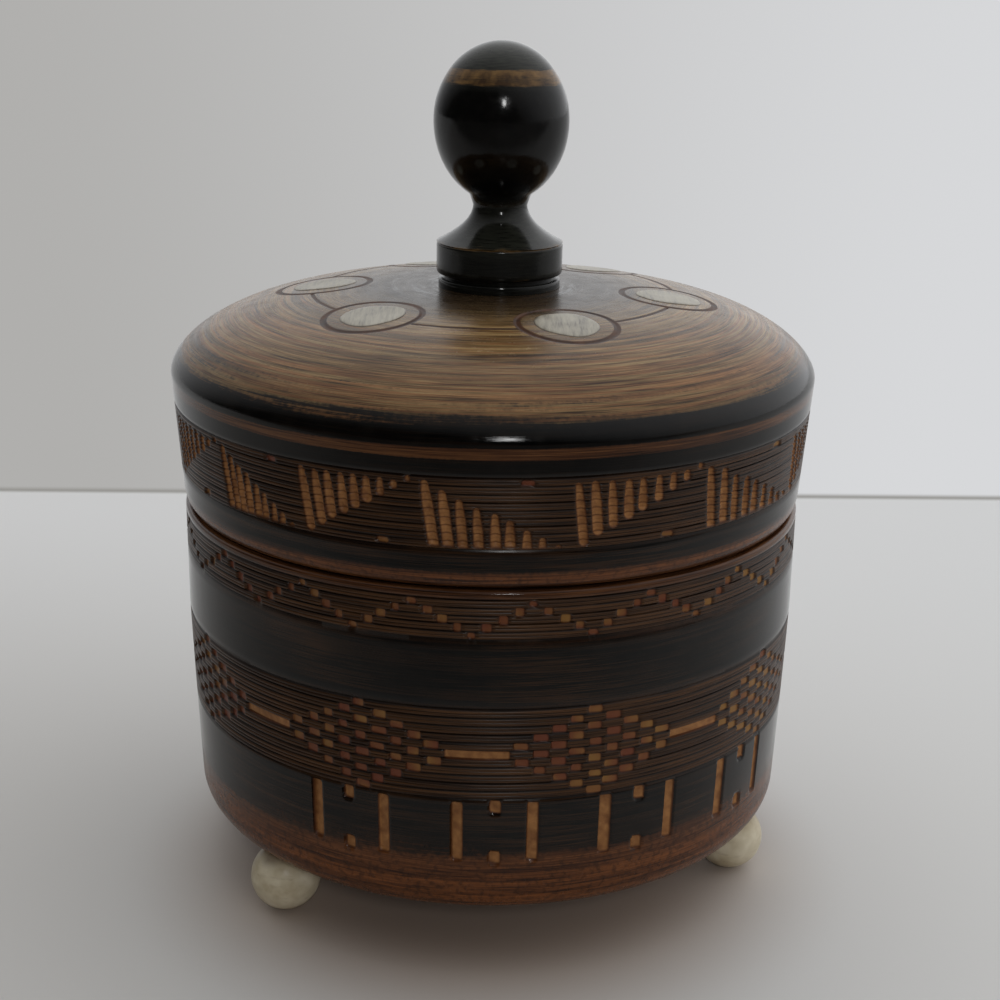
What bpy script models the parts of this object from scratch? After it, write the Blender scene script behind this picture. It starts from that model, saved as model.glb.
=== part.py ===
"""A turned, lacquered and carved wooden trinket box with a lift-off lid.

Metres, +Z up. The origin is on the box's axis, in the plane that the feet stand on.
The front of the box faces -Y. Turns round the axis are in degrees from +X towards +Y.
"""
import math

import bmesh
import bpy

# Tub
BASE_HEIGHT = 0.0080
SHOULDER_HEIGHT = 0.0491
BODY_RADIUS = 0.0396
BODY_DRAW_IN = 0.00085
WIDEST_HEIGHT = 0.0360
BASE_CORNER_RADIUS = 0.0040
SHOULDER_EDGE_RADIUS = 0.0004
WALL_THICKNESS = 0.0052
BASE_THICKNESS = 0.0060
CAVITY_CORNER_RADIUS = 0.0030
SPIGOT_THICKNESS = 0.0020
SPIGOT_RISE = 0.0050
SPIGOT_CHAMFER = 0.0005

# Lid
RIM_HEIGHT = 0.0660
RIM_OVERHANG = 0.0012
DOME_RISE = 0.0099
SKIRT_OVERHANG = 0.00015
SKIRT_LIP_HEIGHT = 0.0026
SKIRT_LIP_DRAW_IN = 0.0006
CROWN_THICKNESS = 0.0080
CEILING_CORNER_RADIUS = 0.0080

# Knob
KNOB_OFFSET = 0.0006
KNOB_BALL_RADIUS = 0.0084
KNOB_BALL_HEIGHT = 0.0201
KNOB_BALL_UPPER_AXIS = 0.00965
KNOB_BALL_LOWER_AXIS = 0.0100
KNOB_NECK_RADIUS = 0.0034
KNOB_NECK_HEIGHT = 0.0099
COLLAR_RADIUS = 0.00795
COLLAR_TOP_HEIGHT = 0.0053
COLLAR_BOTTOM_HEIGHT = 0.0013
COLLAR_GROOVE_RADIUS = 0.0069
FLANGE_RADIUS = 0.0077
FLANGE_TOP_HEIGHT = 0.00075
KNOB_TENON_RADIUS = 0.0025
KNOB_TENON_LENGTH = 0.0060

# Inlaid discs
INLAY_RADIUS = 0.0041
INLAY_THICKNESS = 0.0012
INLAY_CIRCLE_RADIUS = 0.0220
INLAY_TURNS = (-67.0, -7.0, 53.0, 113.0, 173.0, 230.0)

# Ball feet
FOOT_RADIUS = 0.0044
FOOT_FLAT_DEPTH = 0.0001
FOOT_INSET = 0.0056
FOOT_TURNS = (-138.0, -18.0, 102.0)
FOOT_TENON_RADIUS = 0.0015
FOOT_TENON_LENGTH = 0.0034

# Clearances and cutting
SEAT_GAP = 0.0003
SPIGOT_CLEARANCE = 0.0003
TENON_CLEARANCE = 0.0003
INLAY_CLEARANCE = 0.0003
CUT_OVERRUN = 0.0030
MERGE_DISTANCE = 0.000001

# Shares of the sizes above, and counts of facets
BARREL_POWER = 1.2
DOME_POWER = 3.4
DOME_ROUNDING = 0.62
FLARE_POWER = 2.0
DOME_RADIUS_SHARES = (0.988, 0.965, 0.93, 0.88, 0.81, 0.72, 0.60, 0.46, 0.30)
BARREL_STEPS = 4
CORNER_STEPS = 4
FLARE_STEPS = 6
BALL_STEPS = 10
BODY_SEGMENTS = 80
KNOB_SEGMENTS = 40
FOOT_SEGMENTS = 24
INLAY_SEGMENTS = 24
SHARP_ANGLE = math.radians(35.0)

# Places that follow from the sizes
CAVITY_RADIUS = BODY_RADIUS - WALL_THICKNESS
SPIGOT_RADIUS = CAVITY_RADIUS + SPIGOT_THICKNESS
RIM_RADIUS = BODY_RADIUS + RIM_OVERHANG
SKIRT_RADIUS = BODY_RADIUS + SKIRT_OVERHANG
FOOT_CIRCLE_RADIUS = BODY_RADIUS - FOOT_INSET
LID_SEAT_HEIGHT = SHOULDER_HEIGHT + SEAT_GAP
LID_BORE_RADIUS = SPIGOT_RADIUS + SPIGOT_CLEARANCE
CROWN_HEIGHT = RIM_HEIGHT + DOME_RISE
CEILING_HEIGHT = CROWN_HEIGHT - CROWN_THICKNESS
KNOB_SEAT_HEIGHT = CROWN_HEIGHT + SEAT_GAP
FOOT_CENTRE_HEIGHT = FOOT_RADIUS - FOOT_FLAT_DEPTH


def clear_scene():
    """Remove whatever the scene holds."""
    for item in list(bpy.data.objects):
        bpy.data.objects.remove(item, do_unlink=True)


def make_material(name, colour, roughness, metallic=0.0):
    """A Principled material with one colour."""
    material = bpy.data.materials.new(name)
    material.use_nodes = True
    shader = material.node_tree.nodes["Principled BSDF"]
    shader.inputs["Base Color"].default_value = (*colour, 1.0)
    shader.inputs["Roughness"].default_value = roughness
    shader.inputs["Metallic"].default_value = metallic
    return material


def arc(centre, radius, start, end, steps):
    """Points of an arc in the outline's plane, both ends included."""
    points = []
    for step in range(steps + 1):
        angle = start + (end - start) * step / steps
        points.append((centre[0] + radius * math.cos(angle), centre[1] + radius * math.sin(angle)))
    return points


def turned_mesh(name, outline, segments):
    """Spin an outline of (radius, height) points, which starts and ends on the Z axis, once round it."""
    shape = bmesh.new()
    points = [shape.verts.new((radius, 0.0, height)) for radius, height in outline]
    edges = [shape.edges.new(pair) for pair in zip(points, points[1:])]
    bmesh.ops.spin(shape, geom=points + edges, cent=(0.0, 0.0, 0.0), axis=(0.0, 0.0, 1.0),
                   angle=math.tau, steps=segments, use_merge=True)
    bmesh.ops.remove_doubles(shape, verts=shape.verts, dist=MERGE_DISTANCE)
    bmesh.ops.recalc_face_normals(shape, faces=shape.faces)
    mesh = bpy.data.meshes.new(name)
    shape.to_mesh(mesh)
    shape.free()
    mesh.shade_smooth()
    mesh.set_sharp_from_angle(angle=SHARP_ANGLE)
    return mesh


def place(name, mesh, material, location=(0.0, 0.0, 0.0), rotation=(0.0, 0.0, 0.0), parent=None):
    """Put one named object in the scene, with its place given in its parent's frame."""
    if not mesh.materials:
        mesh.materials.append(material)
    item = bpy.data.objects.new(name, mesh)
    bpy.context.scene.collection.objects.link(item)
    item.location = location
    item.rotation_euler = rotation
    item.parent = parent
    return item


def cut(target, cutter):
    """Subtract a cutter from a piece and keep the cutter as a hidden guide."""
    cutter.hide_render = True
    cutter.display_type = "WIRE"
    modifier = target.modifiers.new(cutter.name, "BOOLEAN")
    modifier.operation = "DIFFERENCE"
    modifier.solver = "EXACT"
    modifier.object = cutter


def around(turns, radius):
    """Angle and (x, y) of the place at each turn round the axis."""
    places = []
    for turn in turns:
        angle = math.radians(turn)
        places.append((angle, radius * math.cos(angle), radius * math.sin(angle)))
    return places


def barrel_radius(height):
    """Outer radius of the tub, full from the widest line up and drawn in below it."""
    if height >= WIDEST_HEIGHT:
        return BODY_RADIUS
    share = (WIDEST_HEIGHT - height) / (WIDEST_HEIGHT - BASE_HEIGHT - BASE_CORNER_RADIUS)
    return BODY_RADIUS - BODY_DRAW_IN * share ** BARREL_POWER


def dome_height(radius):
    """Height of the lid's domed top at a radius from the axis."""
    return RIM_HEIGHT + DOME_RISE * (1.0 - (radius / RIM_RADIUS) ** DOME_POWER) ** DOME_ROUNDING


def dome_slope(radius):
    """How steeply the domed top falls outwards at a radius, as an angle."""
    share = radius / RIM_RADIUS
    inner = 1.0 - share ** DOME_POWER
    fall = DOME_RISE * DOME_ROUNDING * inner ** (DOME_ROUNDING - 1.0)
    fall = fall * DOME_POWER * share ** (DOME_POWER - 1.0) / RIM_RADIUS
    return math.atan(fall)


def tub_outline():
    """Half section of the tub, from the middle of its underside round to the cavity floor."""
    corner_height = BASE_HEIGHT + BASE_CORNER_RADIUS
    corner_centre = barrel_radius(corner_height) - BASE_CORNER_RADIUS
    cavity_floor = BASE_HEIGHT + BASE_THICKNESS
    spigot_top = SHOULDER_HEIGHT + SPIGOT_RISE
    edge_centre = (BODY_RADIUS - SHOULDER_EDGE_RADIUS, SHOULDER_HEIGHT - SHOULDER_EDGE_RADIUS)
    inner_centre = (CAVITY_RADIUS - CAVITY_CORNER_RADIUS, cavity_floor + CAVITY_CORNER_RADIUS)
    outline = [(0.0, BASE_HEIGHT)]
    outline += arc((corner_centre, corner_height), BASE_CORNER_RADIUS, -math.pi / 2, 0.0, CORNER_STEPS)
    for step in range(1, BARREL_STEPS + 1):
        height = corner_height + (WIDEST_HEIGHT - corner_height) * step / BARREL_STEPS
        outline.append((barrel_radius(height), height))
    outline += arc(edge_centre, SHOULDER_EDGE_RADIUS, 0.0, math.pi / 2, 2)
    outline.append((SPIGOT_RADIUS, SHOULDER_HEIGHT))
    outline.append((SPIGOT_RADIUS, spigot_top - SPIGOT_CHAMFER))
    outline.append((SPIGOT_RADIUS - SPIGOT_CHAMFER, spigot_top))
    outline.append((CAVITY_RADIUS, spigot_top))
    outline += arc(inner_centre, CAVITY_CORNER_RADIUS, 0.0, -math.pi / 2, CORNER_STEPS)
    outline.append((0.0, cavity_floor))
    return outline


def lid_outline():
    """Half section of the lid, from the crown down its outside and back up its inside."""
    skirt_height = LID_SEAT_HEIGHT + SKIRT_LIP_HEIGHT
    ceiling_centre = (LID_BORE_RADIUS - CEILING_CORNER_RADIUS, CEILING_HEIGHT - CEILING_CORNER_RADIUS)
    outline = [(0.0, CROWN_HEIGHT)]
    for share in reversed(DOME_RADIUS_SHARES):
        outline.append((RIM_RADIUS * share, dome_height(RIM_RADIUS * share)))
    outline.append((RIM_RADIUS, RIM_HEIGHT))
    for step in range(CORNER_STEPS + 1):
        share = step / CORNER_STEPS
        radius = SKIRT_RADIUS - SKIRT_LIP_DRAW_IN * share ** 2
        outline.append((radius, skirt_height - SKIRT_LIP_HEIGHT * share))
    outline.append((LID_BORE_RADIUS, LID_SEAT_HEIGHT))
    outline += arc(ceiling_centre, CEILING_CORNER_RADIUS, 0.0, math.pi / 2, CORNER_STEPS)
    outline.append((0.0, CEILING_HEIGHT))
    return outline


def knob_outline():
    """Half section of the knob: tenon, flange, groove, collar, flare, neck and ball."""
    outline = [(0.0, -KNOB_TENON_LENGTH), (KNOB_TENON_RADIUS, -KNOB_TENON_LENGTH)]
    outline += [(KNOB_TENON_RADIUS, 0.0), (FLANGE_RADIUS, 0.0), (FLANGE_RADIUS, FLANGE_TOP_HEIGHT)]
    outline += [(COLLAR_GROOVE_RADIUS, FLANGE_TOP_HEIGHT), (COLLAR_GROOVE_RADIUS, COLLAR_BOTTOM_HEIGHT)]
    outline += [(COLLAR_RADIUS, COLLAR_BOTTOM_HEIGHT)]
    for step in range(FLARE_STEPS + 1):
        share = 1.0 - step / FLARE_STEPS
        radius = KNOB_NECK_RADIUS + (COLLAR_RADIUS - KNOB_NECK_RADIUS) * share ** FLARE_POWER
        outline.append((radius, KNOB_NECK_HEIGHT + (COLLAR_TOP_HEIGHT - KNOB_NECK_HEIGHT) * share))
    start = -math.acos(KNOB_NECK_RADIUS / KNOB_BALL_RADIUS)
    for step in range(BALL_STEPS + 1):
        angle = start + (math.pi / 2 - start) * step / BALL_STEPS
        axis = KNOB_BALL_UPPER_AXIS if angle > 0.0 else KNOB_BALL_LOWER_AXIS
        radius = KNOB_BALL_RADIUS * math.cos(angle) if step < BALL_STEPS else 0.0
        outline.append((radius, KNOB_BALL_HEIGHT + axis * math.sin(angle)))
    return outline


def foot_outline():
    """Half section of a ball foot, from its worn flat up to the end of its tenon."""
    start = -math.asin(FOOT_CENTRE_HEIGHT / FOOT_RADIUS)
    end = math.acos(FOOT_TENON_RADIUS / FOOT_RADIUS)
    tenon_top = FOOT_RADIUS + FOOT_TENON_LENGTH
    outline = [(0.0, -FOOT_CENTRE_HEIGHT)]
    outline += arc((0.0, 0.0), FOOT_RADIUS, start, end, BALL_STEPS)
    outline += [(FOOT_TENON_RADIUS, tenon_top), (0.0, tenon_top)]
    return outline


def disc_outline(radius, bottom, top):
    """Half section of a plain round disc."""
    return [(0.0, bottom), (radius, bottom), (radius, top), (0.0, top)]


def ball_outline(radius):
    """Half section of a ball."""
    outline = arc((0.0, 0.0), radius, -math.pi / 2, math.pi / 2, BALL_STEPS)
    outline[0] = (0.0, -radius)
    outline[-1] = (0.0, radius)
    return outline


def make_tub(wood):
    """The hollow turned tub, with the spigot that the lid drops over."""
    mesh = turned_mesh("box_body", tub_outline(), BODY_SEGMENTS)
    return place("box_body", mesh, wood)


def make_feet(tub, ivory):
    """Ball feet under the tub, each with its tenon up in a hole of the base."""
    foot = turned_mesh("ball_foot", foot_outline(), FOOT_SEGMENTS)
    seat = turned_mesh("foot_seat", ball_outline(FOOT_RADIUS + SEAT_GAP), FOOT_SEGMENTS)
    hole_top = FOOT_RADIUS + FOOT_TENON_LENGTH + TENON_CLEARANCE
    hole_outline = disc_outline(FOOT_TENON_RADIUS + TENON_CLEARANCE, 0.0, hole_top)
    hole = turned_mesh("foot_hole", hole_outline, FOOT_SEGMENTS)
    for number, (angle, x, y) in enumerate(around(FOOT_TURNS, FOOT_CIRCLE_RADIUS), 1):
        spot = {"location": (x, y, FOOT_CENTRE_HEIGHT), "rotation": (0.0, 0.0, angle)}
        place(f"ball_foot_{number}", foot, ivory, **spot)
        cut(tub, place(f"foot_seat_cutter_{number}", seat, ivory, **spot))
        cut(tub, place(f"foot_hole_cutter_{number}", hole, ivory, **spot))


def make_lid(wood):
    """The turned lid with its origin on the axis that it lifts along."""
    outline = [(radius, height - LID_SEAT_HEIGHT) for radius, height in lid_outline()]
    mesh = turned_mesh("lid", outline, BODY_SEGMENTS)
    return place("lid", mesh, wood, location=(0.0, 0.0, LID_SEAT_HEIGHT))


def make_knob(lid, lacquer):
    """The knob, glued by its tenon into a blind hole in the crown, a little off the axis."""
    mesh = turned_mesh("lid_knob", knob_outline(), KNOB_SEGMENTS)
    seat = (KNOB_OFFSET, 0.0, KNOB_SEAT_HEIGHT - LID_SEAT_HEIGHT)
    place("lid_knob", mesh, lacquer, location=seat, parent=lid)
    bottom = -KNOB_TENON_LENGTH - TENON_CLEARANCE
    hole_outline = disc_outline(KNOB_TENON_RADIUS + TENON_CLEARANCE, bottom, CUT_OVERRUN)
    hole = turned_mesh("knob_hole", hole_outline, KNOB_SEGMENTS)
    cut(lid, place("knob_hole_cutter", hole, lacquer, location=seat, parent=lid))


def make_inlays(lid, shell):
    """Pale discs let into shallow seats round the dome, each tilted to lie flush with it."""
    disc = disc_outline(INLAY_RADIUS, -INLAY_THICKNESS, 0.0)
    disc_mesh = turned_mesh("inlay_disc", disc, INLAY_SEGMENTS)
    seat = disc_outline(INLAY_RADIUS + INLAY_CLEARANCE, -INLAY_THICKNESS - SEAT_GAP, CUT_OVERRUN)
    seat_mesh = turned_mesh("inlay_seat", seat, INLAY_SEGMENTS)
    height = dome_height(INLAY_CIRCLE_RADIUS) - LID_SEAT_HEIGHT
    tilt = dome_slope(INLAY_CIRCLE_RADIUS)
    for number, (angle, x, y) in enumerate(around(INLAY_TURNS, INLAY_CIRCLE_RADIUS), 1):
        spot = {"location": (x, y, height), "rotation": (0.0, tilt, angle), "parent": lid}
        place(f"inlay_disc_{number}", disc_mesh, shell, **spot)
        cut(lid, place(f"inlay_seat_cutter_{number}", seat_mesh, shell, **spot))


def main():
    clear_scene()
    wood = make_material("lacquered_wood", (0.105, 0.052, 0.030), 0.32)
    lacquer = make_material("black_lacquer", (0.016, 0.016, 0.015), 0.25)
    shell = make_material("shell_inlay", (0.74, 0.71, 0.66), 0.28)
    ivory = make_material("bone", (0.78, 0.74, 0.65), 0.30)
    tub = make_tub(wood)
    make_feet(tub, ivory)
    lid = make_lid(wood)
    make_knob(lid, lacquer)
    make_inlays(lid, shell)
    bpy.context.view_layer.update()


main()
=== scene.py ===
"""The looks of the carved wooden trinket box: its turned and carved surfaces and their finish."""

import math
import random

import bpy
import numpy as np
from mathutils import Matrix, Vector


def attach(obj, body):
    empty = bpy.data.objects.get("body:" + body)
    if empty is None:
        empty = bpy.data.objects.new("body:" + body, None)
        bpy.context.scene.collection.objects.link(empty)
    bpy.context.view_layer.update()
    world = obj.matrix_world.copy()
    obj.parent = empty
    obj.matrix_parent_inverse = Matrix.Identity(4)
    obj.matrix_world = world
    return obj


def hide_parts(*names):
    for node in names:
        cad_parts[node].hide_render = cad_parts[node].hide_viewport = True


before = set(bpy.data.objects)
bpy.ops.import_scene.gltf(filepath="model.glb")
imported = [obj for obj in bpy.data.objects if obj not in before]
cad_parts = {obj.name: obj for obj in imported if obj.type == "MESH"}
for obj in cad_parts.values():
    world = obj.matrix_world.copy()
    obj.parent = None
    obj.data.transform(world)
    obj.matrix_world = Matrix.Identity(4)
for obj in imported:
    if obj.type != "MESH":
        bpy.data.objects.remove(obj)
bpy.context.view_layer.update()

MM = 0.001
DEGREE = math.pi / 180
rng = random.Random(7)

# The photograph's camera, worked out from the turned lines of the box
IMAGE_SIDE = 1000
FOCAL_PIXELS = 1708.0
SENSOR = 36.0
CAMERA_PLACE = (1.139 * MM, -215.0 * MM, 115.1 * MM)
CAMERA_PITCH = 17.517 * DEGREE
CAMERA_ROLL = 0.878 * DEGREE

# Radii and heights of the turned lines, as in the solids
BASE_Z = 8.0 * MM
SHOULDER_Z = 49.1 * MM
LID_Z = 49.4 * MM
RIM_Z = 66.0 * MM
CROWN_Z = 75.9 * MM
BODY_R = 39.6 * MM
RIM_R = 40.8 * MM
SKIRT_R = 39.75 * MM
SKIRT_LIP = 2.6 * MM
SKIRT_DRAW_IN = 0.6 * MM
DOME_POWER = 3.4
DOME_ROUNDING = 0.62
BASE_CORNER = 4.0 * MM
SHOULDER_EDGE = 0.4 * MM
WIDEST_Z = 36.0 * MM
BODY_DRAW_IN = 0.85 * MM
BARREL_POWER = 1.2
CAVITY_R = 34.4 * MM
CAVITY_FLOOR_Z = 14.0 * MM
CAVITY_CORNER = 3.0 * MM
SPIGOT_R = 36.4 * MM
SPIGOT_Z = 54.1 * MM
SPIGOT_CHAMFER = 0.5 * MM
BORE_R = 36.7 * MM
CEILING_Z = 67.9 * MM
CEILING_CORNER = 8.0 * MM

# Bands of lands parted by fine turned grooves: upper edge, lower edge and number of lands
LID_BAND = (62.3 * MM, 54.0 * MM, 9)
ZIGZAG_BAND = (48.1 * MM, 43.4 * MM, 5)
DIAMOND_BAND = (34.9 * MM, 23.6 * MM, 11)
BARS_TOP = 23.3 * MM
BARS_BOTTOM = 15.6 * MM
GROOVE_DEPTH = 0.2 * MM
GROOVE_HALF_SHARE = 0.19
GROOVE_ROW_SHARES = (0.0, 0.1, 0.19, 0.4, 0.5, 0.6, 0.81, 0.9)
SCORE_HALF_SHARE = 0.1
SCORE_DEPTH_SHARE = 0.45

# Spacing of the rows of points along the turned skins, closest where marks and bends lie
AXIS_GAP = 0.3 * MM
FINE_ROWS = 0.2 * MM
CLOSE_ROWS = 0.3 * MM
EDGE_ROWS = 0.4 * MM
FOOT_ROWS = 0.5 * MM
SIDE_ROWS = 0.6 * MM
PLAIN_ROWS = 0.7 * MM
SEAT_ROWS = 1.0 * MM
BORE_ROWS = 2.0 * MM
CAVITY_ROWS = 2.5 * MM
BASE_ROWS = 3.0 * MM
INNER_ROWS = 4.0 * MM
SCRIBED_FROM_R = 15.6 * MM
SCRIBED_TO_R = 28.5 * MM
DOME_BEND_R = 36.5 * MM
LIP_EDGE = 0.3 * MM
BARS_MARGIN = 0.6 * MM

# Inlays, and the circles scribed round and between them
INLAY_CIRCLE_R = 22.0 * MM
INLAY_TURNS = (-67.0, -7.0, 53.0, 113.0, 173.0, 230.0)
INLAY_R = 4.1 * MM
RING_R = 5.85 * MM
LINK_R = 23.0 * MM
RING_WIDTH = 0.85 * MM
LINK_WIDTH = 0.55 * MM
SCRIBED_DEPTH = 0.1 * MM
INLAY_PROUD = 0.1 * MM
INLAY_EDGE_PROUD = 0.07 * MM
INLAY_SIDE_DEPTH = 0.5 * MM
INLAY_UNDER_DEPTH = 0.6 * MM
INLAY_ACROSS_SHARE = 0.91
INLAY_RING_SHARES = (0.2, 0.4, 0.6, 0.8, 0.92)

# The knob, with heights measured up from its seat on the dome
KNOB_SEAT_Z = 76.2 * MM
KNOB_OFFSET = 0.6 * MM
KNOB_R = 8.4 * MM
KNOB_CENTRE = 20.1 * MM
KNOB_UPPER_AXIS = 9.65 * MM
KNOB_LOWER_AXIS = 10.0 * MM
NECK_R = 3.4 * MM
NECK_TOP = 9.9 * MM
COLLAR_R = 7.95 * MM
COLLAR_TOP = 5.3 * MM
COLLAR_BOTTOM = 1.3 * MM
COLLAR_GROOVE_R = 6.9 * MM
FLANGE_R = 7.7 * MM
FLANGE_TOP = 0.75 * MM
FLANGE_EDGE = 0.25 * MM
FLANGE_FOOT = 0.2 * MM
FLANGE_SUNK = -0.3 * MM
COLLAR_EDGE = 0.45 * MM

# The ball feet
FOOT_R = 4.4 * MM
FOOT_CIRCLE_R = 34.0 * MM
FOOT_TURNS = (-138.0, -18.0, 102.0)
FOOT_CENTRE_Z = 4.3 * MM

# Where the wall meets the table behind the box, and how far it is turned
WALL_DEPTH = 153.5 * MM
WALL_SKEW = 0.023
FLOOR_REACH = 12.0
# How far in front of the box's axis the painted shadow under the box is centred
PAINTED_SHADE_FORWARD = 8.0 * MM

# The lamp in front, and the room's light: its brightest direction and its levels
LAMP_PLACE = (75.0 * MM, -790.0 * MM, 470.0 * MM)
LAMP_WIDTH = 70.0 * MM
LAMP_HEIGHT = 150.0 * MM
LAMP_POWER = 1.1
LAMP_AIM = (0.0, 0.0, 50.0 * MM)
ROOM_BRIGHT_WAY = (0.48, 0.64, 0.6)
ROOM_LEVELS = (("From Min", -0.26), ("From Max", 0.85), ("To Min", 0.03), ("To Max", 1.12))
ROOM_COLOUR = (0.97, 0.98, 1.0, 1.0)

COLUMNS = 1080
ANGLES = np.arange(COLUMNS) * (360.0 / COLUMNS) - 180.0
NO_CUT = -1.0 * MM


def barrel_radius(z):
    """Outer radius of the tub at a height."""
    share = np.clip((WIDEST_Z - z) / (WIDEST_Z - BASE_Z - BASE_CORNER), 0, None)
    return BODY_R - BODY_DRAW_IN * share ** BARREL_POWER


def dome_z(r):
    """Height of the lid's domed top at a radius."""
    return RIM_Z + (CROWN_Z - RIM_Z) * (1 - np.clip(r / RIM_R, 0, 1) ** DOME_POWER) ** DOME_ROUNDING


def dome_r(z):
    """Radius of the lid's domed top at a height."""
    share = np.clip((z - RIM_Z) / (CROWN_Z - RIM_Z), 0, 1)
    return RIM_R * (1 - share ** (1 / DOME_ROUNDING)) ** (1 / DOME_POWER)


def skirt_radius(z):
    """Outer radius of the lid's tapered side at a height."""
    lip_z = LID_Z + SKIRT_LIP
    side = SKIRT_R + (RIM_R - SKIRT_R) * (z - lip_z) / (RIM_Z - lip_z)
    lip = SKIRT_R - SKIRT_DRAW_IN * np.clip((lip_z - z) / SKIRT_LIP, 0, 1) ** 2
    return np.where(z > lip_z, side, lip)


def grooved(band):
    """Heights of the rows over a grooved band, from its top down."""
    top, bottom, lands = band
    pitch = (top - bottom) / lands
    heights = [top - pitch * (land + share) for land in range(lands) for share in GROOVE_ROW_SHARES]
    return heights + [bottom]


def spread(start, end, step):
    """Evenly spaced values from start up to, but without, end."""
    count = max(1, round(abs(end - start) / step))
    return [start + (end - start) * number / count for number in range(count)]


def arc(radius, height, size, start, end, steps):
    """Points on a round corner of a half section, without its last one."""
    turns = [start + (end - start) * step / steps for step in range(steps)]
    return [(radius + size * math.cos(turn), height + size * math.sin(turn)) for turn in turns]


def lid_section():
    """Half section of the lid from the crown outwards, down its side and back up its hollow."""
    rows = [(r, dome_z(r)) for r in spread(AXIS_GAP, SCRIBED_FROM_R, SEAT_ROWS)]
    rows += [(r, dome_z(r)) for r in spread(SCRIBED_FROM_R, SCRIBED_TO_R, FINE_ROWS)]
    rows += [(r, dome_z(r)) for r in spread(SCRIBED_TO_R, DOME_BEND_R, PLAIN_ROWS)]
    rows += [(dome_r(z), z) for z in spread(dome_z(DOME_BEND_R), RIM_Z, CLOSE_ROWS)]
    side = spread(RIM_Z, LID_BAND[0], CLOSE_ROWS) + grooved(LID_BAND)[:-1]
    side += spread(LID_BAND[1], LID_Z + LIP_EDGE, EDGE_ROWS)
    rows += [(float(skirt_radius(z)), z) for z in side]
    outer = len(rows)
    lip_r = float(skirt_radius(LID_Z))
    rows += arc(lip_r - LIP_EDGE, LID_Z + LIP_EDGE, LIP_EDGE, 0, -math.pi / 2, 3)
    rows += [(r, LID_Z) for r in spread(lip_r - LIP_EDGE, BORE_R, PLAIN_ROWS)]
    rows += [(BORE_R, z) for z in spread(LID_Z, CEILING_Z - CEILING_CORNER, BORE_ROWS)]
    corner_r = BORE_R - CEILING_CORNER
    rows += arc(corner_r, CEILING_Z - CEILING_CORNER, CEILING_CORNER, 0, math.pi / 2, 10)
    rows += [(r, CEILING_Z) for r in spread(corner_r, AXIS_GAP, INNER_ROWS)]
    return np.array(rows), outer


def tub_section():
    """Half section of the tub from mid underside up its side, then down its cavity."""
    corner_z = BASE_Z + BASE_CORNER
    corner_r = float(barrel_radius(corner_z)) - BASE_CORNER
    rows = [(r, BASE_Z) for r in spread(AXIS_GAP, corner_r, BASE_ROWS)]
    rows += arc(corner_r, corner_z, BASE_CORNER, -math.pi / 2, 0, 14)
    side = spread(corner_z, BARS_BOTTOM - BARS_MARGIN, FOOT_ROWS)
    side += spread(BARS_BOTTOM - BARS_MARGIN, DIAMOND_BAND[1], CLOSE_ROWS)
    side += grooved(DIAMOND_BAND)[::-1]
    side += spread(DIAMOND_BAND[0], ZIGZAG_BAND[1], SIDE_ROWS)[1:]
    side += grooved(ZIGZAG_BAND)[::-1]
    side += spread(ZIGZAG_BAND[0], SHOULDER_Z - SHOULDER_EDGE, FINE_ROWS)[1:]
    rows += [(float(barrel_radius(z)), z) for z in side]
    edge = SHOULDER_EDGE
    rows += arc(BODY_R - edge, SHOULDER_Z - edge, edge, 0, math.pi / 2, 4)
    outer = len(rows)
    rows += [(r, SHOULDER_Z) for r in spread(BODY_R - edge, SPIGOT_R, SEAT_ROWS)]
    rows += [(SPIGOT_R, z) for z in spread(SHOULDER_Z, SPIGOT_Z - SPIGOT_CHAMFER, SEAT_ROWS)]
    rows += [(SPIGOT_R, SPIGOT_Z - SPIGOT_CHAMFER), (SPIGOT_R - SPIGOT_CHAMFER, SPIGOT_Z)]
    rows += [(r, SPIGOT_Z) for r in spread(SPIGOT_R - 2 * SPIGOT_CHAMFER, CAVITY_R, SEAT_ROWS)]
    inner_r = CAVITY_R - CAVITY_CORNER
    inner_z = CAVITY_FLOOR_Z + CAVITY_CORNER
    rows += [(CAVITY_R, z) for z in spread(SPIGOT_Z, inner_z, CAVITY_ROWS)]
    rows += arc(inner_r, inner_z, CAVITY_CORNER, 0, -math.pi / 2, 6)
    rows += [(r, CAVITY_FLOOR_Z) for r in spread(inner_r, AXIS_GAP, INNER_ROWS)]
    return np.array(rows), outer


def folded(angles):
    """Angles in degrees, brought between -180 and 180."""
    return (angles + 180.0) % 360.0 - 180.0


def ease(value):
    """A smooth step from 0 to 1."""
    value = np.clip(value, 0, 1)
    return value * value * (3 - 2 * value)


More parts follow.
